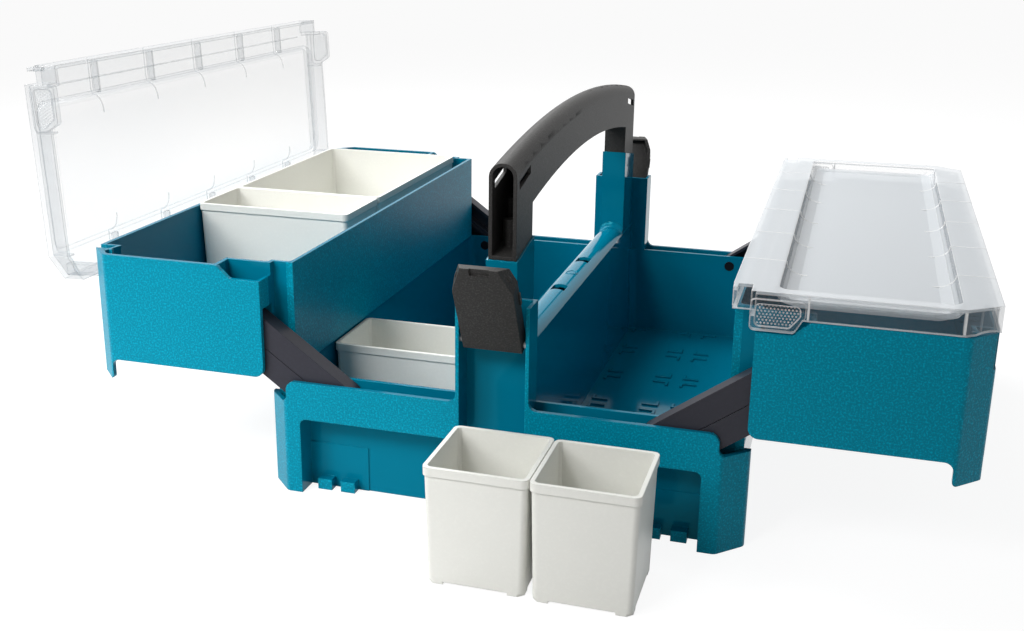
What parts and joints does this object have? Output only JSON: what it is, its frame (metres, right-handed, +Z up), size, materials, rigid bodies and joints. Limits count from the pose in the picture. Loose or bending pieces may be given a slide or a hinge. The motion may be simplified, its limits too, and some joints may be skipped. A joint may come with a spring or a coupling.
{
  "type": "folding tool case",
  "caption": "Folding plastic tool case: lidded trays swing out on parallel arms from a divided base tub with a carrying handle, end latches and lift-out bins.",
  "frame": {"origin": "centre of the base underside, on the floor", "axes": "+X across the case to the right tray, -Y to the front with the loose bins, +Z up"},
  "size_m": [0.5677, 0.504, 0.257],
  "materials": {
    "teal_polypropylene": "fine leather grain outside, gloss inside",
    "dark_grey_nylon": "satin",
    "clear_polycarbonate": "clear rim, lightly frosted top",
    "white_polystyrene": "satin",
    "black_polypropylene": "fine grain",
    "black_acetal": "smooth",
    "zinc_steel": "zinc plated"
  },
  "bodies": {
    "base": {"base_tub": "teal_polypropylene", "handle": "black_polypropylene", "handle_screws": "zinc_steel", "base_pivot_pins": "black_acetal", "front_latch_pin": "zinc_steel", "rear_latch_pin": "zinc_steel", "bay_bin": "white_polystyrene"},
    "left_inner_arms": {"front_left_inner_arm": "dark_grey_nylon", "rear_left_inner_arm": "dark_grey_nylon"},
    "left_outer_arms": {"front_left_outer_arm": "dark_grey_nylon", "rear_left_outer_arm": "dark_grey_nylon"},
    "left_tray_set": {"left_tray": "teal_polypropylene", "left_tray_pivot_pins": "black_acetal", "left_lid_hinge_pins": "zinc_steel", "tray_wide_bin": "white_polystyrene", "tray_long_bin": "white_polystyrene"},
    "left_lid_panel": {"left_lid": "clear_polycarbonate"},
    "right_inner_arms": {"front_right_inner_arm": "dark_grey_nylon", "rear_right_inner_arm": "dark_grey_nylon"},
    "right_outer_arms": {"front_right_outer_arm": "dark_grey_nylon", "rear_right_outer_arm": "dark_grey_nylon"},
    "right_tray_set": {"right_tray": "teal_polypropylene", "right_tray_pivot_pins": "black_acetal", "right_lid_hinge_pins": "zinc_steel"},
    "right_lid_panel": {"right_lid": "clear_polycarbonate"},
    "front_latch_flap": {"front_latch": "black_polypropylene"},
    "rear_latch_flap": {"rear_latch": "black_polypropylene"},
    "left_loose_bin_body": {"left_loose_bin": "white_polystyrene"},
    "right_loose_bin_body": {"right_loose_bin": "white_polystyrene"}
  },
  "joints": [
    {"name": "left_fold", "type": "hinge", "parent": "base", "child": "left_inner_arms", "pos_m": [-0.095, 0, 0.065], "axis": [0, 1, 0], "range_deg": [0, 109]},
    {"name": "left_outer_arm_swing", "type": "hinge", "parent": "base", "child": "left_outer_arms", "pos_m": [-0.1215, 0, 0.065], "axis": [0, 1, 0], "range_deg": [0, 109]},
    {"name": "left_tray_level", "type": "hinge", "parent": "left_inner_arms", "child": "left_tray_set", "pos_m": [-0.15549, 0, 0.10815], "axis": [0, 1, 0], "range_deg": [-109, 0]},
    {"name": "left_lid_hinge", "type": "hinge", "parent": "left_tray_set", "child": "left_lid_panel", "pos_m": [-0.26268, 0, 0.1276], "axis": [0, 1, 0], "range_deg": [0, 92.5]},
    {"name": "right_fold", "type": "hinge", "parent": "base", "child": "right_inner_arms", "pos_m": [0.095, 0, 0.065], "axis": [0, -1, 0], "range_deg": [0, 109]},
    {"name": "right_outer_arm_swing", "type": "hinge", "parent": "base", "child": "right_outer_arms", "pos_m": [0.1215, 0, 0.065], "axis": [0, -1, 0], "range_deg": [0, 109]},
    {"name": "right_tray_level", "type": "hinge", "parent": "right_inner_arms", "child": "right_tray_set", "pos_m": [0.15549, 0, 0.10815], "axis": [0, -1, 0], "range_deg": [-109, 0]},
    {"name": "right_lid_hinge", "type": "hinge", "parent": "right_tray_set", "child": "right_lid_panel", "pos_m": [0.26268, 0, 0.1276], "axis": [0, 1, 0], "range_deg": [0, 92.5]},
    {"name": "front_latch_hinge", "type": "hinge", "parent": "base", "child": "front_latch_flap", "pos_m": [0, -0.193, 0.112], "axis": [-1, 0, 0], "range_deg": [0, 26.9]},
    {"name": "rear_latch_hinge", "type": "hinge", "parent": "base", "child": "rear_latch_flap", "pos_m": [0, 0.193, 0.112], "axis": [1, 0, 0], "range_deg": [0, 26.9]},
    {"name": "left_loose_bin_lift", "type": "slide", "parent": "base", "child": "left_loose_bin_body", "axis": [0, 0, 1], "range_m": [0, 0.06]},
    {"name": "right_loose_bin_lift", "type": "slide", "parent": "base", "child": "right_loose_bin_body", "axis": [0, 0, 1], "range_m": [0, 0.06]}
  ],
  "couplings": [
    {"joint": "left_outer_arm_swing", "follows": "left_fold", "ratio": 1},
    {"joint": "left_tray_level", "follows": "left_fold", "ratio": -1},
    {"joint": "right_outer_arm_swing", "follows": "right_fold", "ratio": 1},
    {"joint": "right_tray_level", "follows": "right_fold", "ratio": -1}
  ]
}
